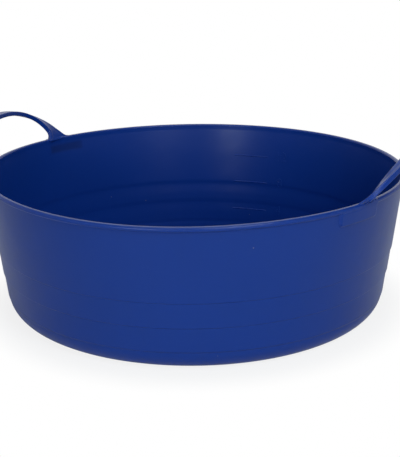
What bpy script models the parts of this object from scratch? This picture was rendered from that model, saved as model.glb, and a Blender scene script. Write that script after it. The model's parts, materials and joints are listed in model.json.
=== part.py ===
"""Flexible bucket: a shallow round feeding tub with two grab handles, moulded in soft polyethylene.

The frame is metres with +Z up, and the origin is the middle of the face that the tub rests on.
The handles lie along X. Each handle has its own frame: u points outwards from the middle of the
tub, v runs along the rim, and its two feet lie at -v and +v.
"""
import math

import bmesh
import bpy
from mathutils import Vector

# Tub
RIM_RADIUS = 0.210
RIM_HEIGHT = 0.140
BEAD_WIDTH = 0.0052
BEAD_HEIGHT = 0.0044
BEAD_ROUND = 0.0016
BEAD_OVERHANG = 0.0026
BASE_RADIUS = 0.1923
CORNER_RADIUS = 0.0195
WALL = 0.0025
FLOOR = 0.0028
RING_STEP = 0.0008
RING_SLOPE = 0.0010
RING_HEIGHTS = (0.0683, 0.0439, 0.0200)
BASE_RING_WIDTH = 0.021
BASE_RECESS = 0.0012

# Feet of the handles on the wall: lengths run along the rim, from the handle's middle outwards
PAD_LEAD = 0.0108
PAD_LENGTH = 0.0518
PAD_HEIGHT = 0.0125
PAD_ROUND = 0.0035
PAD_DRAFT = 0.0018
POCKET_INSET = 0.0010
POCKET_BELOW_RIM = 0.0062
POCKET_HEIGHT = 0.0124
POCKET_DEPTH = 0.0011

# Handles: the inner edge goes round the finger gap, the outer edge reaches away from the tub
INNER_HALF_SPAN = 0.0666
INNER_RISE = 0.0385
INNER_FULLNESS = 2.19
OUTER_HALF_SPAN = 0.0837
OUTER_RISE = 0.0385
OUTER_FULLNESS = 1.83
LEAN = math.radians(28.7)
GRIP_REACH = 0.0101
FOOT_FLARE = 0.0119
FOOT_FLARE_RISE = 0.0070
LIP = 0.0047
LIP_ROUND = 0.0011
LIP_SHOULDER = 0.0012
WEB = 0.0034
BEND_RISE = 0.0087
BEND_INWARD = math.radians(60)
BEND_OUTWARD = math.radians(35)
BEND_SPARE = math.radians(6)

# Level marks inside, on the wall halfway between the handles
MARK_HEIGHTS = {"low": 0.0396, "mid": 0.0727, "high": 0.1040}
MARK_LENGTH = 0.0415
MARK_OFFSET = 0.0075
MARK_TALL = 0.0017
MARK_PROUD = 0.0007

# Gap that neighbouring solids keep, and how finely round shapes are cut
GAP = 0.0003
ROUND_STEPS = 90
CORNER_STEPS = 5
GRIP_STEPS = 40
SECTOR_STEPS = 10

BEAD_MIDDLE_RADIUS = RIM_RADIUS - BEAD_WIDTH / 2
BEAD_MIDDLE_HEIGHT = RIM_HEIGHT - BEAD_HEIGHT / 2
WALL_TOP = RIM_HEIGHT - BEAD_HEIGHT - GAP
WALL_TOP_RADIUS = RIM_RADIUS - BEAD_OVERHANG
PAD_TOP_RADIUS = WALL_TOP_RADIUS + GAP
PAD_START = math.asin(INNER_HALF_SPAN / BEAD_MIDDLE_RADIUS) - PAD_LEAD / BEAD_MIDDLE_RADIUS
PAD_END = PAD_START + PAD_LENGTH / BEAD_MIDDLE_RADIUS
POCKET_TOP = RIM_HEIGHT - POCKET_BELOW_RIM
HANDLE_ROOT_U = math.sqrt(BEAD_MIDDLE_RADIUS**2 - INNER_HALF_SPAN**2)
BEND_U = HANDLE_ROOT_U + BEND_RISE * math.tan(LEAN)
BEND_Z = BEAD_MIDDLE_HEIGHT + BEND_RISE
BLUE = (0.016, 0.047, 0.235, 1.0)


def clear_scene():
    for obj in list(bpy.data.objects):
        bpy.data.objects.remove(obj, do_unlink=True)


def new_collection(name):
    collection = bpy.data.collections.new(name)
    bpy.context.scene.collection.children.link(collection)
    return collection


def polyethylene(name, roughness):
    material = bpy.data.materials.new(name)
    material.use_nodes = True
    shader = material.node_tree.nodes["Principled BSDF"]
    shader.inputs["Base Color"].default_value = BLUE
    shader.inputs["Roughness"].default_value = roughness
    shader.inputs["Metallic"].default_value = 0.0
    return material


def add_object(name, mesh, collection, material=None, parent=None):
    obj = bpy.data.objects.new(name, mesh)
    collection.objects.link(obj)
    obj.parent = parent
    if material is not None and not mesh.materials:
        mesh.materials.append(material)
    return obj


def finish_mesh(name, shape):
    """Turns a bmesh into a mesh whose faces point outwards, smooth except at real edges."""
    bmesh.ops.recalc_face_normals(shape, faces=shape.faces)
    mesh = bpy.data.meshes.new(name)
    shape.to_mesh(mesh)
    shape.free()
    mesh.shade_smooth()
    mesh.set_sharp_from_angle(angle=math.radians(40))
    return mesh


def loft(name, sections):
    """A closed solid through a row of loops that have the same number of points."""
    shape = bmesh.new()
    loops = [[shape.verts.new(point) for point in section] for section in sections]
    for first, second in zip(loops, loops[1:]):
        for i in range(len(first)):
            j = (i + 1) % len(first)
            shape.faces.new((first[i], first[j], second[j], second[i]))
    shape.faces.new(loops[0])
    shape.faces.new(loops[-1])
    return finish_mesh(name, shape)


def turned(name, profile, closed, collection, material):
    """A profile of (radius, height) points, turned round Z with a Screw modifier."""
    shape = bmesh.new()
    points = [shape.verts.new((radius, 0, height)) for radius, height in profile]
    for first, second in zip(points, points[1:]):
        shape.edges.new((first, second))
    if closed:
        shape.edges.new((points[-1], points[0]))
    mesh = bpy.data.meshes.new(name)
    shape.to_mesh(mesh)
    shape.free()
    obj = add_object(name, mesh, collection, material)
    screw = obj.modifiers.new("turn", "SCREW")
    screw.steps = ROUND_STEPS
    screw.render_steps = ROUND_STEPS
    screw.use_merge_vertices = True
    screw.merge_threshold = 1e-5
    screw.use_smooth_shade = True
    return obj


def arc(centre, radii, start, end, steps):
    """Points on an ellipse round centre, from angle start to angle end."""
    points = []
    for i in range(steps + 1):
        angle = start + (end - start) * i / steps
        points.append((centre[0] + radii[0] * math.cos(angle), centre[1] + radii[1] * math.sin(angle)))
    return points


def rings_above(height):
    return sum(1 for ring in RING_HEIGHTS if ring > height)


def wall_radius(height):
    """Outer radius of the tapered wall, which steps in by RING_STEP below each ring."""
    steps_on_cone = sum(1 for ring in RING_HEIGHTS if ring > CORNER_RADIUS)
    spread = WALL_TOP_RADIUS - BASE_RADIUS - RING_STEP * steps_on_cone
    taper = spread / (WALL_TOP - CORNER_RADIUS)
    return WALL_TOP_RADIUS - (WALL_TOP - height) * taper - RING_STEP * rings_above(height)


def wall_side(inset, rows=()):
    """Points down the wall from top to corner, with two points at each ring and one at each row."""
    points = [(wall_radius(height) - inset, height) for height in (WALL_TOP, *rows)]
    for ring in sorted(RING_HEIGHTS, reverse=True):
        points.append((wall_radius(ring) - inset, ring))
        below = max(ring - RING_SLOPE, CORNER_RADIUS + RING_SLOPE / 4)
        points.append((wall_radius(below - 1e-6) - inset, below - 1e-6))
    return points


def tub_shell(collection, material):
    """Floor, round bottom corner and wall as one turned profile, from the floor to the recess."""
    ring_inside = BASE_RADIUS - CORNER_RADIUS - BASE_RING_WIDTH
    corner = (BASE_RADIUS - CORNER_RADIUS, CORNER_RADIUS)
    inner_radii = (CORNER_RADIUS - WALL, CORNER_RADIUS - FLOOR)
    inner_floor = [(0, FLOOR + BASE_RECESS), (ring_inside - BASE_RECESS, FLOOR + BASE_RECESS), (ring_inside, FLOOR)]
    inner_corner = arc(corner, inner_radii, -math.pi / 2, 0, CORNER_STEPS)
    outer_corner = arc(corner, (CORNER_RADIUS, CORNER_RADIUS), 0, -math.pi / 2, CORNER_STEPS)
    underside = [(ring_inside, 0), (ring_inside - BASE_RECESS, BASE_RECESS), (0, BASE_RECESS)]
    pocket_rows = (POCKET_TOP - POCKET_HEIGHT - PAD_ROUND,)
    inner_wall = wall_side(WALL, pocket_rows)[::-1]
    profile = inner_floor + inner_corner + inner_wall + wall_side(0) + outer_corner + underside
    return turned("tub_shell", profile, False, collection, material)


def rim_bead(collection, material):
    """The rounded edge round the mouth, seated on the wall and proud of it outside."""
    outer, inner = RIM_RADIUS - BEAD_ROUND, RIM_RADIUS - BEAD_WIDTH + BEAD_ROUND
    top, bottom = RIM_HEIGHT - BEAD_ROUND, RIM_HEIGHT - BEAD_HEIGHT + BEAD_ROUND
    radii = (BEAD_ROUND, BEAD_ROUND)
    profile = []
    for quarter, centre in enumerate(((inner, top), (outer, top), (outer, bottom), (inner, bottom))):
        start = math.pi - quarter * math.pi / 2
        profile += arc(centre, radii, start, start - math.pi / 2, 2)
    return turned("rim_bead", profile, True, collection, material)


def sector(name, start, end, low, high, inner, outer, corner=0.0, draft=0.0):
    """A block that follows the wall from angle start to end, with rounded lower corners.

    inner and outer give its radius at a height. With draft, the outer face is narrower at both ends.
    """
    sections = []
    for i in range(SECTOR_STEPS + 1):
        share = (1 - math.cos(math.pi * i / SECTOR_STEPS)) / 2
        angle = start + (end - start) * share
        drawn_in = angle + math.copysign(draft / RIM_RADIUS, end - start) * (1 - 2 * share)
        edge = RIM_RADIUS * abs(end - start) * min(share, 1 - share)
        into = max(corner - edge, 0)
        foot = low + corner - math.sqrt(max(corner**2 - into**2, 0))
        corners = (
            (inner(foot), angle, foot),
            (outer(foot), drawn_in, foot),
            (outer(high), drawn_in, high),
            (inner(high), angle, high),
        )
        sections.append([(r * math.cos(turn), r * math.sin(turn), z) for r, turn, z in corners])
    return loft(name, sections)


def rim_taper():
    """How fast the wall draws in just below the rim."""
    return (wall_radius(WALL_TOP) - wall_radius(WALL_TOP - PAD_HEIGHT)) / PAD_HEIGHT


def foot_pad(name, side, collection, material, parent):
    """The raised pad below the bead that carries one foot of a handle."""
    def inner(height):
        return PAD_TOP_RADIUS - (WALL_TOP - height) * rim_taper()

    def outer(height):
        return RIM_RADIUS - (WALL_TOP - height) * rim_taper()

    start, end = side * PAD_START, side * PAD_END
    low = WALL_TOP - PAD_HEIGHT
    mesh = sector(name, start, end, low, WALL_TOP, inner, outer, PAD_ROUND, PAD_DRAFT)
    return add_object(name, mesh, collection, material, parent)


def cut_pocket(shell, side, angle, cutters):
    """The shallow pocket inside the wall behind a pad, which keeps the section thin."""
    def inner(height):
        return wall_radius(height) - 2 * WALL

    def outer(height):
        return wall_radius(height) - WALL + POCKET_DEPTH

    inset = POCKET_INSET / BEAD_MIDDLE_RADIUS
    start, end = side * (PAD_START + inset), side * (PAD_END - inset)
    low = POCKET_TOP - POCKET_HEIGHT
    mesh = sector("pocket", start, end, low, POCKET_TOP, inner, outer, PAD_ROUND)
    cutter = add_object("pocket", mesh, cutters)
    cutter.rotation_euler.z = angle
    cutter.hide_render = True
    cutter.display_type = "WIRE"
    cut = shell.modifiers.new("pocket", "BOOLEAN")
    cut.operation = "DIFFERENCE"
    cut.object = cutter


def superellipse(angle, half_span, rise, fullness):
    """A point of the arch: (v, height over the bead's middle), angle running from 0 to pi."""
    across, up = math.cos(angle), math.sin(angle)
    power = 2 / fullness
    return -half_span * math.copysign(abs(across) ** power, across), rise * max(up, 0) ** power


def angle_at(height, rise, fullness):
    return math.asin((height / rise) ** (fullness / 2))


def inner_edge(angle):
    v, height = superellipse(angle, INNER_HALF_SPAN, INNER_RISE, INNER_FULLNESS)
    return Vector((HANDLE_ROOT_U + height * math.tan(LEAN), v, BEAD_MIDDLE_HEIGHT + height))


def outer_edge(angle):
    """Above the bending line: the edge that leans out further and reaches GRIP_REACH at the top."""
    v, height = superellipse(angle, OUTER_HALF_SPAN, OUTER_RISE, OUTER_FULLNESS)
    top_u = HANDLE_ROOT_U + INNER_RISE * math.tan(LEAN) + GRIP_REACH
    share = (height - BEND_RISE) / (OUTER_RISE - BEND_RISE)
    return Vector((BEND_U + (top_u - BEND_U) * share, v, BEAD_MIDDLE_HEIGHT + height))


def outer_root_edge(height):
    """Below the bending line: the edge that flares out along the rim and lands on the bead."""
    v, _ = superellipse(angle_at(height, OUTER_RISE, OUTER_FULLNESS), OUTER_HALF_SPAN, OUTER_RISE, OUTER_FULLNESS)
    v -= FOOT_FLARE * max(1 - height / FOOT_FLARE_RISE, 0) ** 2
    on_bead = math.sqrt(BEAD_MIDDLE_RADIUS**2 - v**2)
    share = height / BEND_RISE
    return Vector((on_bead + (BEND_U - on_bead) * share, v, BEAD_MIDDLE_HEIGHT + height))


def strap_section(inner, outer, normal, thickness=1.0):
    """A strap's cross-section: a thin web between two square lips with rounded corners.

    inner and outer are the middles of the lips, and normal points out of the web.
    """
    along = (outer - inner).normalized()
    span = (outer - inner).length
    half = LIP / 2
    centre = half - LIP_ROUND
    rounds = (LIP_ROUND, LIP_ROUND)
    quarter = math.pi / 2
    outline = arc((span + centre, -centre), rounds, -quarter, 0, 2)
    outline += arc((span + centre, centre), rounds, 0, quarter, 2)
    outline += [(span - half, half), (span - half - LIP_SHOULDER, WEB / 2)]
    outline += [(half + LIP_SHOULDER, WEB / 2), (half, half)]
    outline += arc((-centre, centre), rounds, quarter, 2 * quarter, 2)
    outline += arc((-centre, -centre), rounds, 2 * quarter, 3 * quarter, 2)
    outline += [(half, -half), (half + LIP_SHOULDER, -WEB / 2)]
    outline += [(span - half - LIP_SHOULDER, -WEB / 2), (span - half, -half)]
    return [inner + along * x + normal * y * thickness for x, y in outline]


def grip_mesh(name):
    """The strap from bending line to bending line, with half-round ends about that line."""
    starts = (
        angle_at(BEND_RISE, INNER_RISE, INNER_FULLNESS),
        angle_at(BEND_RISE, OUTER_RISE, OUTER_FULLNESS),
    )

    def edges(share):
        inner_angle = starts[0] + (math.pi - 2 * starts[0]) * share
        outer_angle = starts[1] + (math.pi - 2 * starts[1]) * share
        return inner_edge(inner_angle), outer_edge(outer_angle)

    def direction(share):
        ahead, behind = min(share + 0.01, 1), max(share - 0.01, 0)
        return (sum(edges(ahead), Vector()) - sum(edges(behind), Vector())).normalized()

    origin = Vector((BEND_U, 0, BEND_Z))
    sections = []
    for i in range(GRIP_STEPS + 1):
        share = (1 - math.cos(math.pi * i / GRIP_STEPS)) / 2 * 0.4 + i / GRIP_STEPS * 0.6
        inner, outer = edges(share)
        normal = (outer - inner).cross(direction(share)).normalized()
        sections.append(strap_section(inner - origin, outer - origin, normal))
    for end, share in ((0, 0), (-1, 1)):
        inner, outer = edges(share)
        travel = direction(share) * (-1 if end == 0 else 1)
        normal = (outer - inner).cross(direction(share)).normalized()
        away = normal.cross(outer - inner).normalized()
        away *= math.copysign(1, away.dot(travel))
        for degrees in (30, 55, 75):
            turn = math.radians(degrees)
            shift = away * LIP / 2 * math.sin(turn) - origin
            section = strap_section(inner + shift, outer + shift, normal, math.cos(turn))
            sections.insert(0 if end == 0 else len(sections), section)
    return loft(name, sections)


def root_mesh(name, side):
    """The stub of a handle foot, from its seat on the bead up to the bending line."""
    seat = RIM_HEIGHT - BEAD_MIDDLE_HEIGHT + GAP
    steps = 6

    def edges(height):
        angle = angle_at(height, INNER_RISE, INNER_FULLNESS)
        return inner_edge(angle), outer_root_edge(height)

    sections = []
    for i in range(steps + 1):
        share = i / steps
        height = seat + (BEND_RISE - seat) * share
        inner, outer = edges(height)
        next_inner, next_outer = edges(height + 1e-5)
        rising = (next_inner + next_outer - inner - outer).normalized()
        upright = (outer - inner).cross(Vector((0, 0, 1))).normalized()
        across = (outer - inner).cross(rising).normalized()
        normal = upright.lerp(across, share).normalized()
        section = strap_section(inner, outer, normal)
        if i == 0:
            section = [Vector((point.x, point.y, BEAD_MIDDLE_HEIGHT + seat)) for point in section]
        sections.append([(point.x, -side * point.y, point.z) for point in section])
    return loft(name, sections)


def bend_clearance(side, angle, cutters):
    """The space that the grip's round end and strap sweep through between their limits."""
    radius = LIP / 2 + GAP
    reach = 3 * LIP
    inner_limit = LEAN - BEND_INWARD
    outer_limit = LEAN + BEND_OUTWARD + BEND_SPARE

    def tangent_point(limit, turn, up):
        side_way = (-turn * math.cos(limit), turn * math.sin(limit))
        u = BEND_U + radius * side_way[0] + up * math.sin(limit)
        z = BEND_Z + radius * side_way[1] + up * math.cos(limit)
        return u, z

    outline = [tangent_point(inner_limit, 1, reach), tangent_point(inner_limit, 1, 0)]
    start = math.pi - inner_limit
    end = 2 * math.pi - outer_limit
    outline += arc((BEND_U, BEND_Z), (radius, radius), start, end, 10)[1:-1]
    outline += [tangent_point(outer_limit, -1, 0), tangent_point(outer_limit, -1, reach)]
    outline.append((BEND_U, BEND_Z + 2 * reach))
    ends = (INNER_HALF_SPAN - FOOT_FLARE, OUTER_HALF_SPAN + 2 * FOOT_FLARE)
    sections = [[(u, side * v, z) for u, z in outline] for v in ends]
    cutter = add_object("bend_clearance", loft("bend_clearance", sections), cutters)
    cutter.rotation_euler.z = angle
    cutter.hide_render = True
    cutter.display_type = "WIRE"
    return cutter


def handle_root(name, side, angle, collection, cutters, material, parent):
    root = add_object(name, root_mesh(name, side), collection, material, parent)
    cut = root.modifiers.new("bend", "BOOLEAN")
    cut.operation = "DIFFERENCE"
    cut.object = bend_clearance(side, angle, cutters)
    return root


def handle_grip(name, mesh, collection, material, parent):
    grip = add_object(name, mesh, collection, material, parent)
    grip.location = (BEND_U, 0, BEND_Z)
    return grip


def level_mark(name, height, collection, material):
    """A raised bar on the inside of the wall that shows a filling level."""
    def outer(level):
        return wall_radius(height) - WALL - GAP - (height - level) * rim_taper()

    def inner(level):
        return outer(level) - MARK_PROUD

    radius = outer(height)
    middle = math.pi / 2 + MARK_OFFSET / radius
    half = MARK_LENGTH / 2 / radius
    low, high = height - MARK_TALL / 2, height + MARK_TALL / 2
    mesh = sector(name, middle - half, middle + half, low, high, inner, outer)
    return add_object(name, mesh, collection, material)


def handle(side_name, angle, grip, collection, cutters, materials, shell):
    frame = bpy.data.objects.new(f"handle_{side_name}_frame", None)
    collection.objects.link(frame)
    frame.rotation_euler.z = angle
    for end_name, side in (("front", -1), ("back", 1)):
        facing = end_name if angle == 0 else {"front": "back", "back": "front"}[end_name]
        place = f"{side_name}_{facing}"
        foot_pad(f"foot_pad_{place}", side, collection, materials["foot"], frame)
        handle_root(f"handle_root_{place}", side, angle, collection, cutters, materials["foot"], frame)
        cut_pocket(shell, side, angle, cutters)
    handle_grip(f"handle_grip_{side_name}", grip, collection, materials["grip"], frame)


def build():
    clear_scene()
    parts = new_collection("flexible_bucket")
    cutters = new_collection("cutters")
    materials = {
        "tub": polyethylene("tub_polyethylene", 0.42),
        "rim": polyethylene("rim_polyethylene", 0.36),
        "foot": polyethylene("foot_polyethylene", 0.40),
        "grip": polyethylene("grip_polyethylene", 0.38),
        "mark": polyethylene("mark_polyethylene", 0.42),
    }
    shell = tub_shell(parts, materials["tub"])
    rim_bead(parts, materials["rim"])
    grip = grip_mesh("handle_grip")
    handle("right", 0.0, grip, parts, cutters, materials, shell)
    handle("left", math.pi, grip, parts, cutters, materials, shell)
    for name, height in MARK_HEIGHTS.items():
        level_mark(f"level_mark_{name}", height, parts, materials["mark"])


build()
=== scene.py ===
import json
import math

import bpy
import numpy as np
from mathutils import Matrix, Vector


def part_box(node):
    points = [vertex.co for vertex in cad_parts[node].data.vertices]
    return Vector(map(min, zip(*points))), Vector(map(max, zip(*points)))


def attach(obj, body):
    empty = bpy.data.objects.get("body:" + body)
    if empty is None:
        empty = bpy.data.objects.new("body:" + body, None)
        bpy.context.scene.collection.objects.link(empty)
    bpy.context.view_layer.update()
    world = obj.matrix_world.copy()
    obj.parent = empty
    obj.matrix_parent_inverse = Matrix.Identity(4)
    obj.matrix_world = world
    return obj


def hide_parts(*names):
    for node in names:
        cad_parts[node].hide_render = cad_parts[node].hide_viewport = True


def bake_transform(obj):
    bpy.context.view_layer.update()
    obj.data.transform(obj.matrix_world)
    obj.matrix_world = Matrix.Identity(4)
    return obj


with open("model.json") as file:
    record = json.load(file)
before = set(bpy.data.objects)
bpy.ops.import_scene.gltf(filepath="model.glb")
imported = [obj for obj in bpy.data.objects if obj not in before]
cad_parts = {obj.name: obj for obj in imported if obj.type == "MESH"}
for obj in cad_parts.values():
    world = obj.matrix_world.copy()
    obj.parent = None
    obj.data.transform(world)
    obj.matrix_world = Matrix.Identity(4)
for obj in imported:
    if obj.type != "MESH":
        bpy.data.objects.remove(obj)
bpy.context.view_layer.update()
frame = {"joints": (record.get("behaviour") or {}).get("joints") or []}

# Tub: one shallow bowl injection moulded in soft low-density polyethylene, with a tapered wall that steps
# in at three rings, a thick rounded rim, and a pad under each handle foot with a thin pocket behind it,
# painted with shade.
# It is the whole body of the object, so it stands for the shell, the rim bead and the four foot pads.
rim_low, rim_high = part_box("rim_bead")
shell_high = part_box("tub_shell")[1]
pad_low, pad_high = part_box("foot_pad_right_back")
RIM_RADIUS = rim_high.x
RIM_HEIGHT = rim_high.z
BEAD_HEIGHT = rim_high.z - rim_low.z
BEAD_WIDTH = 0.0052
BEAD_ROUND_OUTSIDE = 0.0021
BEAD_ROUND_INSIDE = 0.0016
BEAD_SHOULDER = 0.0016
SHOULDER_MARGIN = 0.0002
INSIDE_ENDS_BELOW_BEAD = 0.0010
OUTSIDE_ENDS_BELOW_BEAD = 0.0006
WALL_TOP = shell_high.z
WALL_TOP_RADIUS = shell_high.x
BASE_RADIUS = 0.1923
CORNER_RADIUS = 0.0195
WALL = 0.0025
FLOOR = 0.0028
RING_STEP = 0.0008
RING_SLOPE = 0.0010
RING_HEIGHTS = (0.0683, 0.0439, 0.0200)
GROOVE_HEIGHTS = (0.0726, 0.0500, 0.0262)
GROOVE_DEEP = 0.0004
GROOVE_FALL = 0.0036
GROOVE_RETURN = 0.0130
BASE_RECESS = 0.0012
RECESS_RADIUS = 0.1512
RECESS_SLOPE = 0.0030
GATE_RADIUS = 0.0035
GATE_PROUD = 0.0006
PAD_HEIGHT = pad_high.z - pad_low.z
PAD_START = math.radians(15.75)
PAD_END = math.radians(30.05)
PAD_ROUND = 0.0035
PAD_DRAFT_SIDE = 0.0019
PAD_DRAFT_BELOW = 0.0010
PAD_CORNER_BLEND = 0.003
PAD_START_MARGIN_DEGREES = 0.2
PAD_SIDE_MARGINS = (0.0008, 0.0006)
WEB_START = 0.0585
WEB_TOP = 0.0690
WEB_END = 0.0920
WEB_EDGE = 0.0009
WEB_BELOW_BEAD = 0.0004
WEB_MARGINS = (0.0045, 0.0015)
PAD_UNDER_BEAD = 0.8
PAD_EDGE_WEAR = 0.6
POCKET_INSET = 0.0010
POCKET_TOP = RIM_HEIGHT - 0.0054
POCKET_HEIGHT = 0.0132
POCKET_ROUND = 0.0035
POCKET_DRAFT = 0.0046
POCKET_DEPTH = 0.0001
BEAD_MIDDLE_RADIUS = RIM_RADIUS - BEAD_WIDTH / 2
BEAD_MIDDLE_HEIGHT = RIM_HEIGHT - BEAD_HEIGHT / 2
TAPER = (WALL_TOP_RADIUS - BASE_RADIUS - RING_STEP * len(RING_HEIGHTS)) / (WALL_TOP - CORNER_RADIUS)
# A soft tub stands out of round and out of level: number of waves, amount, angle of a crest in degrees
RIM_LIFTS = ((1, 0.00279, -82.7), (2, 0.00112, 19.0), (3, 0.00069, -27.9), (4, 0.00021, 50.0))
RIM_SPREADS = ((2, 0.00156, 19.6), (3, 0.00092, -2.0))
PLASTIC_BLUE = (0.0040, 0.0400, 0.2780, 1.0)
SCUFF_BLUE = (0.070, 0.110, 0.300, 1.0)
DUST = (0.30, 0.28, 0.27, 1.0)
SPECK_SCALE = 62
SPECK_SHARE = 0.75
SPECULAR_LEVEL = 0.27
PLASTIC_IOR = 1.5


def soft_step(x):
    """0 below 0, 1 above 1, and in between 3 x squared less 2 x cubed."""
    x = np.clip(x, 0.0, 1.0)
    return x * x * (3 - 2 * x)


def ramp(x):
    """0 below 0 and 1 above 1 with a straight slope between, its two ends rounded by parabolas."""
    end = 0.22
    x = np.clip(x, 0.0, 1.0)
    low = np.minimum(x, end) ** 2 / (2 * end)
    high = np.minimum(1 - x, end) ** 2 / (2 * end)
    middle = np.clip(x, end, 1 - end) - end
    return (low + middle + end / 2 - high) / (1 - end)


def arc(centre, radii, start, end, steps):
    """Points of an ellipse: centre plus radii times (cosine, sine), from start to end in degrees."""
    angle = np.radians(np.linspace(start, end, steps + 1))
    return np.column_stack((centre[0] + radii[0] * np.cos(angle), centre[1] + radii[1] * np.sin(angle)))


def wave(angle, waves):
    """The sum of amount times the cosine of (number of waves times the angle from a crest)."""
    return sum(amount * np.cos(count * (angle - math.radians(crest))) for count, amount, crest in waves)


def settled(points):
    """Lifts and spreads points by the rim's waves, in proportion to height up to the rim and fully above
    it; the spread also grows from nothing at the axis to all of it at the base's radius."""
    angle = np.arctan2(points[..., 1], points[..., 0])
    radius = np.hypot(points[..., 0], points[..., 1])
    share = np.clip(points[..., 2] / RIM_HEIGHT, 0, 1)
    wide = radius + wave(angle, RIM_SPREADS) * share * np.clip(radius / BASE_RADIUS, 0, 1)
    high = points[..., 2] + wave(angle, RIM_LIFTS) * share
    return np.stack((wide * np.cos(angle), wide * np.sin(angle), high), -1)


def in_scene(name, data):
    """An object of this name and data, linked to the scene."""
    made = bpy.data.objects.new(name, data)
    bpy.context.scene.collection.objects.link(made)
    return made


def skin(name, rings, first_pole, last_pole, attributes, material):
    """A closed surface through rings of points: rings[i, j] is joined to its four neighbours, j running
    round without an end, and a fan of triangles closes each end at a pole. Attributes have a value for
    each ring point."""
    count, around = rings.shape[:2]
    points = np.vstack((first_pole, rings.reshape(-1, 3), last_pole))
    here = 1 + np.arange(count * around).reshape(count, around)
    beside = np.roll(here, -1, axis=1)
    quads = np.stack((here[:-1], here[1:], beside[1:], beside[:-1]), -1).reshape(-1, 4)
    first_fan = np.stack((np.zeros(around, int), here[0], beside[0]), -1)
    last_fan = np.stack((here[-1], np.full(around, len(points) - 1), beside[-1]), -1)
    triangles = np.vstack((first_fan, last_fan, quads[:, :3], quads[:, [0, 2, 3]]))
    a, b, c = (points[triangles[:, k]] for k in range(3))
    faces = first_fan.tolist() + last_fan.tolist() + quads.tolist()
    if np.einsum("ij,ij->i", a, np.cross(b, c)).sum() < 0:
        faces = [face[::-1] for face in faces]
    mesh = bpy.data.meshes.new(name)
    mesh.from_pydata(points.tolist(), [], faces)
    mesh.shade_smooth()
    for label, values in attributes.items():
        layer = mesh.attributes.new(label, "FLOAT", "POINT")
        layer.data.foreach_set("value", np.concatenate(([0], np.ravel(values), [0])).astype(np.float32))
    mesh.materials.append(material)
    return in_scene(name, mesh)


class Signal:
    """A socket of a finish's nodes: sums, differences and products with it add Math nodes."""

    def __init__(self, finish, socket):
        self.finish = finish
        self.socket = socket

    def math(self, operation, first, second=0.0):
        return self.finish.node("ShaderNodeMath", {"operation": operation}, {0: first, 1: second})

    def __add__(self, other):
        return self.math("ADD", self, other)

    def __radd__(self, other):
        return self.math("ADD", other, self)

    def __sub__(self, other):
        return self.math("SUBTRACT", self, other)

    def __rsub__(self, other):
        return self.math("SUBTRACT", other, self)

    def __mul__(self, other):
        return self.math("MULTIPLY", self, other)

    def __rmul__(self, other):
        return self.math("MULTIPLY", other, self)

    def above(self, low, high):
        """0 up to low, 1 from high, and a smooth step in between; with high under low it falls."""
        limits = {"Value": self, "From Min": low, "From Max": high}
        return self.finish.node("ShaderNodeMapRange", {"interpolation_type": "SMOOTHSTEP"}, limits)


class Finish:
    """The nodes of a material or world in the making, round its own shader: node() adds a node of a type
    with its settings, and feed() gives each named socket a value or a signal."""

    def __init__(self, owner, shader="Principled BSDF"):
        self.owner = owner
        owner.use_nodes = True
        self.tree = owner.node_tree
        self.shader = self.tree.nodes[shader]

    def node(self, kind, settings=None, sockets=None, output=0):
        made = self.tree.nodes.new(kind)
        for key, value in (settings or {}).items():
            setattr(made, key, value)
        self.feed(made, sockets or {})
        return Signal(self, made.outputs[output])

    def feed(self, node, sockets):
        for key, value in sockets.items():
            if isinstance(value, Signal):
                self.tree.links.new(value.socket, node.inputs[key])
            else:
                node.inputs[key].default_value = value

    def mix(self, factor, first, second):
        return self.node("ShaderNodeMix", {"data_type": "RGBA"}, {0: factor, 6: first, 7: second}, 2)

    def noise(self, place, scale, detail=2.0):
        return self.node("ShaderNodeTexNoise", {}, {"Vector": place, "Scale": scale, "Detail": detail})

    def stretched(self, place, scale, shift=(0, 0, 0)):
        return self.node("ShaderNodeMapping", {}, {"Vector": place, "Scale": scale, "Location": shift})

    def rays(self, *kinds):
        """A signal for each kind of ray, 1 on that kind and 0 on others."""
        return [self.node("ShaderNodeLightPath", output=f"Is {kind} Ray") for kind in kinds]


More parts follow.
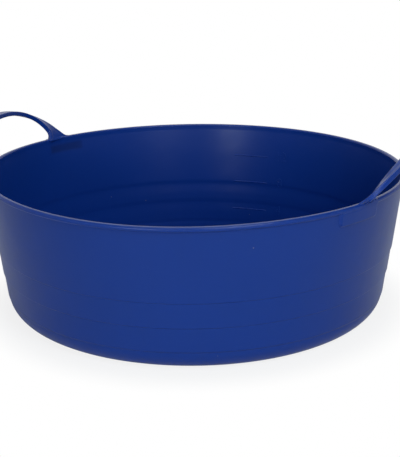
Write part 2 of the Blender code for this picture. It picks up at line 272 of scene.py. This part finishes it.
def polyethylene(name, gloss, shift, dusty=1.0):
    """Satin moulded plastic: clouded pigment, melt flow streaks, fine grain, slow ripples, rubbed patches,
    scuffed edges, painted shade darkening the recesses and a few specks of dust. gloss is its roughness
    before these, and shift moves the pattern, so that no two pieces show the same."""
    finish = Finish(bpy.data.materials.new(name))
    place = finish.node("ShaderNodeTexCoord", output="Object")
    place = finish.stretched(place, (1, 1, 1), shift)
    edge = finish.node("ShaderNodeAttribute", {"attribute_name": "edge"}, output="Fac")
    recess_and_painted_shade = finish.node("ShaderNodeAttribute", {"attribute_name": "recess_and_painted_shade"}, output="Fac")
    cloud = finish.noise(place, 11, 3)
    mottle = finish.noise(place, 85, 4)
    streak = finish.noise(finish.stretched(place, (1, 1, 0.08)), 130, 2)
    ripple = finish.noise(place, 38, 1)
    grain = finish.noise(place, 1900, 2)
    rub = finish.noise(finish.stretched(place, (1, 1, 7)), 60, 5).above(0.60, 0.72)
    rub = rub * finish.noise(place, 16)
    cell = finish.node("ShaderNodeTexVoronoi", {}, {"Vector": place, "Scale": SPECK_SCALE}, "Distance")
    pick = finish.node("ShaderNodeTexVoronoi", {}, {"Vector": place, "Scale": SPECK_SCALE}, "Color")
    pick = finish.node("ShaderNodeSeparateColor", {}, {"Color": pick})
    speck = cell.above(0.044, 0.022) * pick.above(0.74, 0.78) * dusty
    wear = edge * mottle.above(0.42, 0.66)
    scuff = rub * 0.06 + wear * 0.07
    # The recess mask paints shade: it takes a third off the colour in the pockets and makes them rougher.
    tone = 0.93 + cloud * 0.10 + streak * 0.05 - recess_and_painted_shade * 0.34
    blue = finish.node("ShaderNodeVectorMath", {"operation": "SCALE"}, {0: PLASTIC_BLUE[:3], "Scale": tone})
    colour = finish.mix(scuff, blue, SCUFF_BLUE)
    colour = finish.mix(speck * SPECK_SHARE, colour, DUST)
    roughness = gloss - 0.03 + mottle * 0.06 + scuff * 0.25 + recess_and_painted_shade * 0.12 - edge * 0.07
    height = ripple * 0.00022 + grain * 0.000010 + streak * 0.00002
    bump = finish.node("ShaderNodeBump", {}, {"Height": height, "Distance": 1.0, "Strength": 1.0})
    finish.feed(finish.shader, {"Base Color": colour, "Roughness": roughness, "Normal": bump})
    finish.feed(finish.shader, {"Specular IOR Level": SPECULAR_LEVEL, "IOR": PLASTIC_IOR})
    return finish.owner


def wall_radius(height):
    """Outer radius of the wall: a straight taper, less one softened ring step for each ring above."""
    steps = sum(soft_step((ring - height) / RING_SLOPE) for ring in RING_HEIGHTS)
    return WALL_TOP_RADIUS - (WALL_TOP - height) * TAPER - RING_STEP * steps


def inner_radius(height):
    """Radius of the inner wall: one straight taper, with a shallow groove where each ring's mould steps.
    Below its height, a groove falls away by a smooth step and comes back by another."""
    share = (WALL_TOP - height) / (WALL_TOP - CORNER_RADIUS)
    straight = WALL_TOP_RADIUS + (BASE_RADIUS - WALL_TOP_RADIUS) * share - WALL
    grooves = sum(soft_step((start - height) / GROOVE_FALL) for start in GROOVE_HEIGHTS)
    returns = sum(soft_step((start - GROOVE_FALL - height) / GROOVE_RETURN) for start in GROOVE_HEIGHTS)
    return straight + GROOVE_DEEP * (grooves - returns)


def wall_heights(fine_low, fine_high, starts, spread):
    """Heights of the wall's rows, bottom to top: even steps, and closer ones at each start, over a spread
    below it, and from fine_low to fine_high."""
    rows = [np.linspace(CORNER_RADIUS, fine_low, 16)]
    for start in starts:
        rows.append(start - spread * np.linspace(-0.1, 1.1, 10))
    rows.append(np.linspace(fine_low, fine_high, 22))
    heights = np.unique(np.round(np.concatenate(rows), 5))
    return heights[(heights > CORNER_RADIUS + 1e-5) & (heights <= fine_high)]


def tub_profile():
    """Radius and height from the middle of the floor, up inside, over the bead, down outside and back
    under. Arcs make the corners and the bead; the floor is lifted over the recess in its underside."""
    corner = (BASE_RADIUS - CORNER_RADIUS, CORNER_RADIUS)
    floor = np.concatenate((np.linspace(0.006, 0.146, 16), np.linspace(0.148, 0.171, 16)))
    lifted = FLOOR + BASE_RECESS * soft_step((RECESS_RADIUS - floor) / RECESS_SLOPE + 0.5)
    pocket_low = POCKET_TOP - POCKET_HEIGHT - POCKET_DRAFT
    pad_low_edge = WALL_TOP - PAD_HEIGHT - PAD_DRAFT_BELOW
    inside_end = rim_low.z - INSIDE_ENDS_BELOW_BEAD
    inside = wall_heights(pocket_low, inside_end, GROOVE_HEIGHTS, GROOVE_FALL + GROOVE_RETURN)
    outside_end = rim_low.z - OUTSIDE_ENDS_BELOW_BEAD
    outside = wall_heights(pad_low_edge, outside_end, RING_HEIGHTS, RING_SLOPE)[::-1]
    bead_in = RIM_RADIUS - BEAD_WIDTH + BEAD_ROUND_INSIDE
    bead_out = RIM_RADIUS - BEAD_ROUND_OUTSIDE
    inner_round = (BEAD_ROUND_INSIDE, BEAD_ROUND_INSIDE)
    outer_round = (BEAD_ROUND_OUTSIDE, BEAD_ROUND_OUTSIDE)
    under_round = (BEAD_ROUND_OUTSIDE, BEAD_SHOULDER)
    low = rim_low.z + BEAD_SHOULDER
    under = RECESS_RADIUS + RECESS_SLOPE * (0.5 - np.linspace(0, 1, 7))
    underside = np.concatenate((under, np.linspace(0.140, 0.010, 12)))
    hollow = BASE_RECESS * soft_step((RECESS_RADIUS - underside) / RECESS_SLOPE + 0.5)
    gate = np.array((1.4, 1.15, 1.0, 0.85, 0.5)) * GATE_RADIUS
    gate_height = BASE_RECESS - GATE_PROUD * soft_step((GATE_RADIUS * 1.2 - gate) / (GATE_RADIUS * 0.35))
    return np.vstack((
        np.column_stack((floor, lifted)),
        arc(corner, (CORNER_RADIUS - WALL, CORNER_RADIUS - FLOOR), -90, 0, 14),
        np.column_stack((inner_radius(inside), inside)),
        arc((bead_in, RIM_HEIGHT - BEAD_ROUND_INSIDE), inner_round, 180, 90, 8),
        arc((bead_out, RIM_HEIGHT - BEAD_ROUND_OUTSIDE), outer_round, 90, 0, 9),
        arc((bead_out, low), under_round, -8, -88, 7),
        np.column_stack((wall_radius(outside), outside)),
        arc(corner, (CORNER_RADIUS, CORNER_RADIUS), 0, -90, 16),
        np.column_stack((underside, hollow)),
        np.column_stack((gate, gate_height)),
    ))


def inside_of_box(along, height, middle, half, low, high, corner):
    """Signed distance into a box with round corners, and how far its nearest edge is a side one, 0 to 1."""
    sideways = np.abs(along - middle) - (half - corner)
    upright = np.abs(height - (low + high) / 2) - ((high - low) / 2 - corner)
    outside = np.hypot(np.maximum(sideways, 0), np.maximum(upright, 0))
    depth = corner - outside - np.minimum(np.maximum(sideways, upright), 0)
    return depth, soft_step((sideways - upright) / PAD_CORNER_BLEND + 0.5)


def tub_columns():
    """Angles round the tub: even steps, with closer ones across each pad's sides and along each web."""
    even = np.arange(1, 360, 2.0)
    from_axis = np.abs((even + 90) % 180 - 90)
    web = np.degrees(np.array((WEB_START - WEB_MARGINS[0], WEB_END + WEB_MARGINS[1])) / RIM_RADIUS)
    pad_edge = PAD_END * RIM_RADIUS
    side = (pad_edge - PAD_DRAFT_SIDE - PAD_SIDE_MARGINS[0], pad_edge + PAD_SIDE_MARGINS[1])
    side = np.degrees(np.array(side) / RIM_RADIUS)
    for low, high in (web, side):
        even = even[(from_axis < low) | (from_axis > high)]
        from_axis = np.abs((even + 90) % 180 - 90)
    start_end = math.degrees(PAD_START + PAD_DRAFT_SIDE / RIM_RADIUS) + PAD_START_MARGIN_DEGREES
    start = np.linspace(web[0], start_end, 13)
    close = np.concatenate((start, np.linspace(start[-1], web[1], 19)[1:], np.linspace(*side, 12)))
    fine = np.concatenate([axis + turn * close for axis in (0, 180) for turn in (-1, 1)])
    return np.radians(np.unique(np.round(np.concatenate((even, fine)) % 360, 4)))


def tub_surface():
    """The profile turned round the axis, with the pads and the pockets pushed out by smooth masks of the
    distance into their outlines. Over the bead, a web fills out to the pad's face between a slanting side
    and a toe, whose height falls with the square of the distance to its end. Gives the ring points, the
    edge attribute, and the recess attribute, the pocket mask that carries painted shade."""
    profile = tub_profile()
    angle = tub_columns()
    radius = np.repeat(profile[:, :1], len(angle), 1)
    height = np.repeat(profile[:, 1:], len(angle), 1)
    row = np.arange(len(profile))[:, None]
    top = int(np.argmax(profile[:, 1]))
    outer = (row > top) & (height > WALL_TOP - 2 * PAD_HEIGHT)
    inner = (row < top) & (height > POCKET_TOP - 2 * POCKET_HEIGHT)
    edge = soft_step((height - BEAD_MIDDLE_HEIGHT) / BEAD_SHOULDER)
    near = np.abs((angle + math.pi / 2) % math.pi - math.pi / 2)
    along = np.repeat((near * RIM_RADIUS)[None], len(profile), 0)
    pad_middle = (PAD_START + PAD_END) / 2 * RIM_RADIUS
    pad_half = (PAD_END - PAD_START) / 2 * RIM_RADIUS
    low = WALL_TOP - PAD_HEIGHT
    high = low + 4 * PAD_HEIGHT
    depth, sideness = inside_of_box(along, height, pad_middle, pad_half, low, high, PAD_ROUND)
    draft = PAD_DRAFT_BELOW + (PAD_DRAFT_SIDE - PAD_DRAFT_BELOW) * sideness
    pad = ramp(depth / draft)
    web_low = rim_low.z - WEB_BELOW_BEAD
    up_the_bead = np.clip((height - web_low) / (RIM_HEIGHT - web_low), 0, 1)
    web_side = PAD_START * RIM_RADIUS + (WEB_START - PAD_START * RIM_RADIUS) * up_the_bead
    toe_share = np.clip((WEB_END - along) / (WEB_END - WEB_TOP), 0, 2)
    toe = web_low + (RIM_HEIGHT - web_low) * toe_share**2
    web = soft_step((along - web_side) / WEB_EDGE) * soft_step((toe - height) / WEB_EDGE + 0.5)
    under_bead = height < rim_low.z + BEAD_SHOULDER + SHOULDER_MARGIN
    pad = np.where(height > web_low, np.maximum(web, PAD_UNDER_BEAD * pad * under_bead), pad) * outer
    face = RIM_RADIUS - np.maximum(WALL_TOP - height, 0) * TAPER
    radius = radius + pad * (face - radius)
    edge = np.maximum(edge, 4 * pad * (1 - pad) * PAD_EDGE_WEAR)
    half = pad_half - POCKET_INSET
    low = POCKET_TOP - POCKET_HEIGHT
    depth, _ = inside_of_box(along, height, pad_middle, half, low, POCKET_TOP, POCKET_ROUND)
    # The pocket mask sinks the wall a tenth of a millimetre and carries the painted shade of the pocket's
    # face.
    pocket_and_painted_shade = soft_step(depth / POCKET_DRAFT) * inner
    radius = radius + pocket_and_painted_shade * POCKET_DEPTH
    rings = np.stack((radius * np.cos(angle), radius * np.sin(angle), height), -1)
    return settled(rings), {"edge": edge, "recess_and_painted_shade": pocket_and_painted_shade}


tub_rings, tub_attributes = tub_surface()
tub_plastic = polyethylene("tub_polyethylene", 0.31, (0.006, 0.004, 0.009))
floor_pole = (0, 0, FLOOR + BASE_RECESS)
gate_pole = (0, 0, BASE_RECESS - GATE_PROUD)
tub = skin("tub_moulding", tub_rings, floor_pole, gate_pole, tub_attributes, tub_plastic)
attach(tub, "tub")
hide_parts("tub_shell", "rim_bead")
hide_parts(*(f"foot_pad_{side}_{end}" for side in ("right", "left") for end in ("front", "back")))

# Volume marks: three raised bars and their numbers inside the wall, moulded with the tub. The bars stand for
# the three level marks. The photograph's figures are too faint to read, so 4, 8 and 12 litres are a guess.
MARK_LENGTH = 0.0415
MARK_MIDDLE = math.pi / 2 + 0.0375
MARK_TALL = 0.0015
MARK_PROUD = 0.0004
MARK_SUNK = 0.0003
NUMBER_TALL = 0.0112
NUMBER_MIDDLE = math.radians(81.6)
NUMBER_LIFT = 0.0020
NUMBER_PROUD = 0.00022
FIGURE_SHARE_OF_SIZE = 0.729
BAR_WEAR = 0.4


def on_inner_wall(along, height, proud, middle):
    """Points proud of the inner wall, at a length along it from the angle middle, looking outwards."""
    wall = inner_radius(height)
    angle = middle - along / wall
    radius = wall - proud
    return settled(np.stack((radius * np.cos(angle), radius * np.sin(angle), height), -1))


def level_bar(name, height, material):
    """A low bar, half of its section proud of the wall and half sunk in it: outwards the cosine of a turn,
    upwards its sine to the power 0.6. It draws in to its ends by the root of 1 less the 16th power of
    the place along it."""
    share = np.cos(np.linspace(math.pi, 0, 61))[1:-1, None]
    turn = np.linspace(0, 2 * math.pi, 25)[None, :-1]
    draw_in = (1 - np.abs(share) ** 16) ** 0.5
    up = np.sign(np.sin(turn)) * np.abs(np.sin(turn)) ** 0.6
    out = np.cos(turn)
    proud = np.where(out > 0, out * MARK_PROUD, out * MARK_SUNK)
    along = share * MARK_LENGTH / 2 + 0 * turn
    rings = on_inner_wall(along, height + up * draw_in * MARK_TALL / 2, proud * draw_in, MARK_MIDDLE)
    tips = [np.array(side * MARK_LENGTH / 2) for side in (-1, 1)]
    ends = [on_inner_wall(tip, np.array(height), 0.0, MARK_MIDDLE) for tip in tips]
    edge = np.where(out > 0, BAR_WEAR, 0.0) + 0 * along
    return skin(name, rings, ends[0], ends[1], {"edge": edge, "recess_and_painted_shade": 0 * edge}, material)


def level_number(name, figures, height, material):
    """Flat figures, made a mesh, then bent on to the wall: x runs along it, y up it and z stands proud."""
    text = bpy.data.curves.new(name, "FONT")
    text.body = figures
    text.size = NUMBER_TALL / FIGURE_SHARE_OF_SIZE
    text.align_x = "CENTER"
    text.extrude = NUMBER_PROUD / 2
    text.bevel_depth = NUMBER_PROUD / 3
    text.bevel_resolution = 1
    text.resolution_u = 8
    holder = in_scene(name + "_text", text)
    graph = bpy.context.evaluated_depsgraph_get()
    mesh = bpy.data.meshes.new_from_object(holder.evaluated_get(graph))
    bpy.data.objects.remove(holder)
    flat = np.empty(len(mesh.vertices) * 3)
    mesh.vertices.foreach_get("co", flat)
    flat = flat.reshape(-1, 3)
    level = height + flat[:, 1] - NUMBER_TALL / 2 + NUMBER_LIFT
    bent = on_inner_wall(flat[:, 0], level, flat[:, 2] + NUMBER_PROUD / 4, NUMBER_MIDDLE)
    mesh.vertices.foreach_set("co", bent.ravel())
    mesh.update()
    mesh.materials.clear()
    mesh.materials.append(material)
    return in_scene(name, mesh)


mark_plastic = polyethylene("mark_polyethylene", 0.30, (0.31, 0.12, 0.0), 0.3)
for level_name, figures in (("low", "4"), ("mid", "8"), ("high", "12")):
    node_low, node_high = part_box(f"level_mark_{level_name}")
    level = (node_low.z + node_high.z) / 2
    bar = level_bar(f"level_bar_{level_name}", level, mark_plastic)
    number = level_number(f"level_number_{figures}", figures, level, mark_plastic)
    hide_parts(f"level_mark_{level_name}")
    for piece in (bar, number):
        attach(piece, "tub")

# Handles: each is a flat strap moulded in one with the rim. It stands upright in the rim at both feet,
# twists as it rises, and lies flat at the top, where the hand goes round it. It bends at its feet; here it
# is one fixed surface, and the bending line only sets where it leans out and turns square to the strap.
hinge = frame["joints"][0]["pos_m"]
BEND_U = hinge[0]
BEND_RISE = hinge[2] - BEAD_MIDDLE_HEIGHT
LEAN = math.radians(28.7)
INNER_HALF_SPAN = 0.0666
INNER_RISE = 0.0385
INNER_FULLNESS = 2.19
OUTER_HALF_SPAN = 0.0837
OUTER_FULLNESS = 1.81
GRIP_REACH = 0.0101
TOE_RISE = 0.0021
TOE_REACH = 0.0041
TOE_BLEND = 0.0034
FOOT_DRAW = 0.0052
FOOT_DRAW_RISE = 0.0076
HEEL_FILLET = 0.0040
EDGE_BEVEL = 0.0100
EDGE_BEVEL_RISE = 0.0066
STRAP_HALF = 0.00235
STRAP_HALF_AT_RIM = 0.00245
STRAP_ROUND = 0.0010
STRAP_HOLLOW = 0.00015
HOLLOW_FROM_EDGE = 0.0018
HOLLOW_SLOPE = 0.0014
LIP_PLACES = (0.0, 0.0011, 0.0022, 0.0026, 0.0030)
LIP_ROOM = 2.2
LEAST_FACE = 0.0005
WORN_REACH = 1.1
WORN_DEEP = 0.6
EDGE_REACH = 0.0009
ROOT_BELOW = 0.0018
FACE_FILLET = 0.0008
HANDLE_ROOT_U = math.sqrt(BEAD_MIDDLE_RADIUS**2 - INNER_HALF_SPAN**2)


def superellipse_span(height, half_span, fullness):
    """How far along the rim an arch's edge is at a height: its n-th power and the height's add to one."""
    share = np.clip(height / INNER_RISE, 0, 1) ** fullness
    return half_span * (1 - share) ** (1 / fullness)


def strap_edges(height):
    """The two edge lines of half a handle as (out, along, up): the inner one goes round the finger gap,
    drawn in at the foot, with a quarter circle where it meets the rim; the outer one starts on the bead
    with a toe that flattens into it, and leans out further above the bend."""
    above_rim = np.clip((height - TOE_RISE) / HEEL_FILLET, 0, 1)
    heel = HEEL_FILLET * (1 - np.sqrt(1 - (1 - above_rim) ** 2))
    foot = FOOT_DRAW * (1 - soft_step((height - TOE_RISE) / FOOT_DRAW_RISE))
    inner_v = superellipse_span(height, INNER_HALF_SPAN, INNER_FULLNESS) - heel - foot
    inner_u = HANDLE_ROOT_U + height * math.tan(LEAN)
    above_toe = np.sqrt(np.clip((height - TOE_RISE) / TOE_BLEND, 0, 1))
    outer_v = superellipse_span(height, OUTER_HALF_SPAN, OUTER_FULLNESS) + TOE_REACH * (1 - above_toe) ** 2
    on_bead = np.sqrt(BEAD_MIDDLE_RADIUS**2 - outer_v**2)
    low_u = on_bead + (BEND_U - on_bead) * height / BEND_RISE
    top_u = HANDLE_ROOT_U + INNER_RISE * math.tan(LEAN) + GRIP_REACH
    high_u = BEND_U + (top_u - BEND_U) * (height - BEND_RISE) / (INNER_RISE - BEND_RISE)
    share = soft_step(height / BEND_RISE - 0.5)
    outer_u = low_u + (high_u - low_u) * share
    up = BEAD_MIDDLE_HEIGHT + height
    return np.stack((inner_u, -inner_v, up), -1), np.stack((outer_u, -outer_v, up), -1)


def unit(vectors):
    """Vectors divided by their lengths."""
    return vectors / np.linalg.norm(vectors, axis=-1, keepdims=True)


def strap_lines():
    """Inner and outer edge lines and face normals of a whole handle, from one foot over the top to the
    other. Near the rim the normal is level, and it turns to stand square to the strap as that rises."""
    low = np.array((TOE_RISE - ROOT_BELOW, TOE_RISE - ROOT_BELOW / 2))
    foot = TOE_RISE + (BEND_RISE - TOE_RISE) * np.linspace(0, 1, 34) ** 2
    start = math.asin((BEND_RISE / INNER_RISE) ** (INNER_FULLNESS / 2))
    rise = INNER_RISE * np.sin(np.linspace(start, math.pi / 2, 60)[1:]) ** (2 / INNER_FULLNESS)
    height = np.concatenate((low, foot, rise))
    halves = [np.vstack((line, (line * (1, -1, 1))[-2::-1])) for line in strap_edges(height)]
    height = np.concatenate((height, height[-2::-1]))
    inner, outer = halves
    across = unit(outer - inner)
    travel = np.gradient(inner + outer, axis=0)
    square = unit(np.cross(across, travel))
    square *= np.sign(square[:, 2].mean())
    level = unit(np.cross(across, (0, 0, 1)))
    level *= -np.sign(level[:, :1])
    share = soft_step(height / BEND_RISE)[:, None]
    return inner, outer, unit(level * (1 - share) + square * share), height


def face_places(start, far):
    """Places across a face from start to far: close together near both edges, and even between them."""
    lip = np.array(LIP_PLACES)
    lips = lip * np.clip((far - start) / (LIP_ROOM * lip[-1]), 0, 1)
    middle = np.linspace(0, 1, 9)[None, 1:-1]
    between = start + lips[:, -1:] + (far - start - 2 * lips[:, -1:]) * middle
    return np.hstack((start + lips, between, far - lips[:, ::-1]))


def strap_surface():
    """The strap as (out, along, up) points, and the places of its worn corners: at each station a flat
    section with rounded corners runs from the inner to the outer edge line, bevelled on its outer side at
    the toe, slightly hollow on its upper face, and curved along the bead at the feet."""
    inner, outer, normal, height = strap_lines()
    across = unit(outer - inner)
    span = np.linalg.norm(outer - inner, axis=1)[:, None]
    rim_share = 1 - soft_step(height / BEND_RISE)[:, None]
    half_out = STRAP_HALF + (STRAP_HALF_AT_RIM - STRAP_HALF) * rim_share
    start, end = STRAP_ROUND, span + EDGE_REACH - STRAP_ROUND
    bevel = EDGE_BEVEL * (1 - np.clip((height - TOE_RISE) / EDGE_BEVEL_RISE, 0, 1)[:, None]) ** 1.5
    bevel = np.minimum(bevel, end - start - LEAST_FACE)
    outer_end = end - bevel
    outer_face, face = face_places(start, outer_end), face_places(start, end)
    from_edge = np.minimum(face - start, end - face)
    hollow = STRAP_HOLLOW * soft_step((from_edge - HOLLOW_FROM_EDGE) / HOLLOW_SLOPE)
    quarter = np.radians(np.linspace(0, 90, 6))[None, 1:-1]
    bend_x, bend_y = STRAP_ROUND * np.sin(quarter), STRAP_ROUND * (1 - np.cos(quarter))
    flat = np.linspace(0, 1, 5)[None]
    inside, outside = STRAP_HALF - STRAP_ROUND, half_out - STRAP_ROUND
    side = -outside + (inside + outside) * flat
    round_the_section = (
        (outer_face, -half_out + 0 * face),
        (outer_end + bend_x, -half_out + bend_y),
        (outer_end + STRAP_ROUND + bevel * flat, side),
        (end + bend_x[:, ::-1], STRAP_HALF - bend_y[:, ::-1] + 0 * span),
        (face[:, ::-1], (STRAP_HALF - hollow)[:, ::-1]),
        (start - bend_x + 0 * span, STRAP_HALF - bend_y + 0 * span),
        (start - STRAP_ROUND + 0 * side, side[:, ::-1]),
        (start - bend_x[:, ::-1] + 0 * span, -half_out + bend_y[:, ::-1]),
    )
    x, y = (np.hstack(parts) for parts in zip(*round_the_section))
    points = inner[:, None] + across[:, None] * x[..., None] + normal[:, None] * y[..., None]
    on_chord = inner[:, None, 1] + across[:, None, 1] * x
    ends = [np.sqrt(BEAD_MIDDLE_RADIUS**2 - line[:, None, 1] ** 2) for line in (inner, outer)]
    chord = ends[0] + (ends[1] - ends[0]) * x / span
    bulge = np.sqrt(BEAD_MIDDLE_RADIUS**2 - on_chord**2) - chord
    points[..., 0] += bulge * rim_share
    up_the_side = np.clip((y + half_out) / (STRAP_HALF + half_out), 0, 1)
    last = outer_end + (end - outer_end) * up_the_side
    corners = np.minimum(np.abs(x - start), np.abs(x - last)) < STRAP_ROUND * WORN_REACH
    return points, corners * (np.abs(y) > STRAP_HALF * WORN_DEEP) * 1.0


def filleted(points):
    """Pushes the strap's surface out along its normals where it nears the bead, by a fillet's quarter
    circle of the distance to the bead's rounded section, and less the more that the two surfaces already
    line up or that the strap's faces outwards."""
    along = np.gradient(points, axis=0)
    around = np.roll(points, -1, axis=1) - np.roll(points, 1, axis=1)
    normal = unit(np.cross(along, around))
    centre = points.mean(1, keepdims=True)
    normal *= np.sign(((points - centre) * normal).sum((0, 1, 2)))
    radius = np.hypot(points[..., 0], points[..., 1])
    out = radius - BEAD_MIDDLE_RADIUS
    up = points[..., 2] - BEAD_MIDDLE_HEIGHT
    past_out = np.maximum(np.abs(out) - (BEAD_WIDTH / 2 - BEAD_ROUND_INSIDE), 0)
    past_up = np.maximum(np.abs(up) - (BEAD_HEIGHT / 2 - BEAD_ROUND_INSIDE), 0)
    away = np.hypot(past_out, past_up)
    distance = np.maximum(away - BEAD_ROUND_INSIDE, 0)
    slope = np.stack((points[..., 0] / radius, points[..., 1] / radius, 0 * radius), -1)
    slope = slope * (np.sign(out) * past_out)[..., None]
    slope[..., 2] = np.sign(up) * past_up
    slope /= np.maximum(away, 1e-6)[..., None]
    unlike = 1 - np.clip((normal * slope).sum(-1), 0, 1)
    outwards = points[..., 0] / radius * normal[..., 0] + points[..., 1] / radius * normal[..., 1]
    near = np.clip(FACE_FILLET - distance, 0, FACE_FILLET)
    push = (FACE_FILLET - np.sqrt(FACE_FILLET**2 - near**2)) * unlike * (1 - np.clip(outwards, 0, 1))
    return points + normal * push[..., None]


strap_points, strap_corners = strap_surface()
strap_points = filleted(strap_points)
for side_name, turn in (("right", 1), ("left", -1)):
    placed = settled(strap_points * (turn, turn, 1))
    plastic = polyethylene(f"{side_name}_handle_polyethylene", 0.30, (0.1 * turn, 0.27, 0.05))
    poles = placed[0].mean(0), placed[-1].mean(0)
    values = {"edge": strap_corners, "recess_and_painted_shade": 0 * strap_corners}
    strap = skin(f"handle_{side_name}", placed, poles[0], poles[1], values, plastic)
    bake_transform(strap)
    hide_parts(f"handle_grip_{side_name}")
    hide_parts(f"handle_root_{side_name}_front", f"handle_root_{side_name}_back")

# Studio floor: a plain pale sheet. To the camera it is white, and close round the tub its soft shadow shows.
# In reflections it is mostly itself, and it is plain diffuse white to everything else.
FLOOR_HALF = 9.0
FLOOR_WHITE = (0.90, 0.90, 0.90, 1.0)
FLOOR_ROUGHNESS = 0.9
SHADOW_SHARE = 0.16
SHADOW_FROM = 0.19
SHADOW_TO = 0.24
REFLECTED_GLOW = 0.15


def studio_floor():
    """A square sheet at height 0. The camera sees its glow, less a smooth step of shadow near the tub, and
    reflections see a share of the glow; what is left of each is its plain surface."""
    corners = [(x * FLOOR_HALF, y * FLOOR_HALF, 0) for x, y in ((-1, -1), (1, -1), (1, 1), (-1, 1))]
    mesh = bpy.data.meshes.new("floor")
    mesh.from_pydata(corners, [], [(0, 1, 2, 3)])
    finish = Finish(bpy.data.materials.new("floor_white"))
    plain = {"Base Color": FLOOR_WHITE, "Roughness": FLOOR_ROUGHNESS, "Specular IOR Level": 0.0}
    finish.feed(finish.shader, plain)
    glow = finish.node("ShaderNodeEmission", {}, {"Color": (1, 1, 1, 1), "Strength": 1.0})
    camera_ray, glossy_ray, transmission_ray = finish.rays("Camera", "Glossy", "Transmission")
    place = finish.node("ShaderNodeTexCoord", output="Object")
    away = finish.node("ShaderNodeVectorMath", {"operation": "LENGTH"}, {0: place}, "Value")
    near = away.above(SHADOW_TO, SHADOW_FROM)
    seen = (camera_ray + transmission_ray) * (1 - near * SHADOW_SHARE) + glossy_ray * REFLECTED_GLOW
    surface = Signal(finish, finish.shader.outputs[0])
    shown = finish.node("ShaderNodeMixShader", {}, {0: seen, 1: surface, 2: glow})
    finish.feed(finish.tree.nodes["Material Output"], {"Surface": shown})
    mesh.materials.append(finish.owner)
    return in_scene("floor", mesh)


studio_floor()

# Studio light: a pale surround, dimmer overhead and towards a flag, fitted to this view, that keeps the left
# handle's face deep, and soft boxes: a low pair in front that show in the inner wall, and others round it.
# Each has its angle from the camera's side, distance, height, its face's width and height, and power.
HORIZON_LIGHT = 1.0
OVERHEAD_LIGHT = 0.45
DIM_FROM = 0.75
SURROUND = 0.15
FLAG_TOWARDS = (0.764, 0.420, 0.490)
FLAG_FROM = 0.62
FLAG_TO = 0.90
FLAG_SHARE = 0.25
LAMP_WHITE = (0.88, 0.97, 1.0)
LAMPS_FACE_HEIGHT = 0.08
SOFT_BOXES = {
    "soft_box_low_left": (-25.0, 2.4, 0.42, (0.24, 0.70), 11.5),
    "soft_box_low_right": (18.0, 2.4, 0.42, (0.80, 0.75), 4.0),
    "soft_box_high": (26.0, 1.9, 1.90, (1.00, 1.00), 22.0),
    "soft_box_side": (75.0, 2.2, 0.80, (1.00, 1.20), 1.5),
    "soft_box_above": (0.0, 0.3, 2.20, (1.60, 1.60), 9.0),
    "soft_box_back": (180.0, 1.7, 1.90, (1.20, 1.20), 5.0),
}
CAMERA_ROUND = math.radians(21.84)


def studio_world():
    """Horizon light, falling to overhead light with height by a smooth step, and darker towards the flag.
    All of it shows behind the object and in reflections, and a share of it lights the surfaces."""
    finish = Finish(bpy.data.worlds.new("studio"), "Background")
    way = finish.node("ShaderNodeTexCoord", output="Generated")
    overhead = finish.node("ShaderNodeSeparateXYZ", {}, {0: way}, "Z").above(0, DIM_FROM)
    operation = {"operation": "DOT_PRODUCT"}
    flagged = finish.node("ShaderNodeVectorMath", operation, {0: way, 1: FLAG_TOWARDS}, "Value")
    flagged = flagged.above(FLAG_FROM, FLAG_TO)
    seen, *others = finish.rays("Glossy", "Camera", "Transmission")
    for other in others:
        seen = seen.math("MAXIMUM", seen, other)
    light = HORIZON_LIGHT - overhead * (HORIZON_LIGHT - OVERHEAD_LIGHT)
    light = light * (1 - flagged * (1 - FLAG_SHARE))
    strength = light * (SURROUND + seen * (1 - SURROUND))
    finish.feed(finish.shader, {"Color": (1, 1, 1, 1), "Strength": strength})
    return finish.owner


bpy.context.scene.world = studio_world()
for box_name, (aside, away, up, size, power) in SOFT_BOXES.items():
    lamp = bpy.data.lights.new(box_name, "AREA")
    lamp.shape = "RECTANGLE"
    lamp.size, lamp.size_y = size
    lamp.energy = power
    lamp.color = LAMP_WHITE
    soft_box = in_scene(box_name, lamp)
    turned = CAMERA_ROUND + math.radians(aside)
    place = Vector((away * math.sin(turned), -away * math.cos(turned), up))
    middle = Vector((0, 0, LAMPS_FACE_HEIGHT))
    soft_box.location = place
    soft_box.rotation_euler = (place - middle).to_track_quat("Z", "Y").to_euler()

# Camera: a long lens at the photograph's angle, fitted to the lines of its rim, sides, rings and base. It
# looks down over the rim, turned a little from the side that has a handle on its right and one on its left.
IMAGE_LONG_SIDE = 457
FOCAL_PIXELS = 1178.0
CAMERA_DISTANCE = 1.2380
CAMERA_ABOVE = math.radians(21.15)
LOOKS_DOWN = math.radians(17.91)
LOOKS_ASIDE = math.radians(0.26)
LEANS = math.radians(-0.64)


def photograph_camera():
    """Stands on a sphere round the tub's middle and looks above it, turned aside and leaned a touch."""
    data = bpy.data.cameras.new("camera")
    data.lens = data.sensor_width * FOCAL_PIXELS / IMAGE_LONG_SIDE
    camera = in_scene("camera", data)
    upright = Matrix.Rotation(math.pi / 2 - LOOKS_DOWN, 4, "X")
    aside = Matrix.Rotation(-LOOKS_ASIDE, 4, "Z")
    leaned = Matrix.Rotation(LEANS, 4, "Z")
    back = (0, -CAMERA_DISTANCE * math.cos(CAMERA_ABOVE), CAMERA_DISTANCE * math.sin(CAMERA_ABOVE))
    place = Matrix.Translation(back)
    camera.matrix_world = Matrix.Rotation(CAMERA_ROUND, 4, "Z") @ place @ aside @ upright @ leaned
    return camera


bpy.context.scene.camera = photograph_camera()
bpy.context.scene.view_settings.view_transform = "Standard"
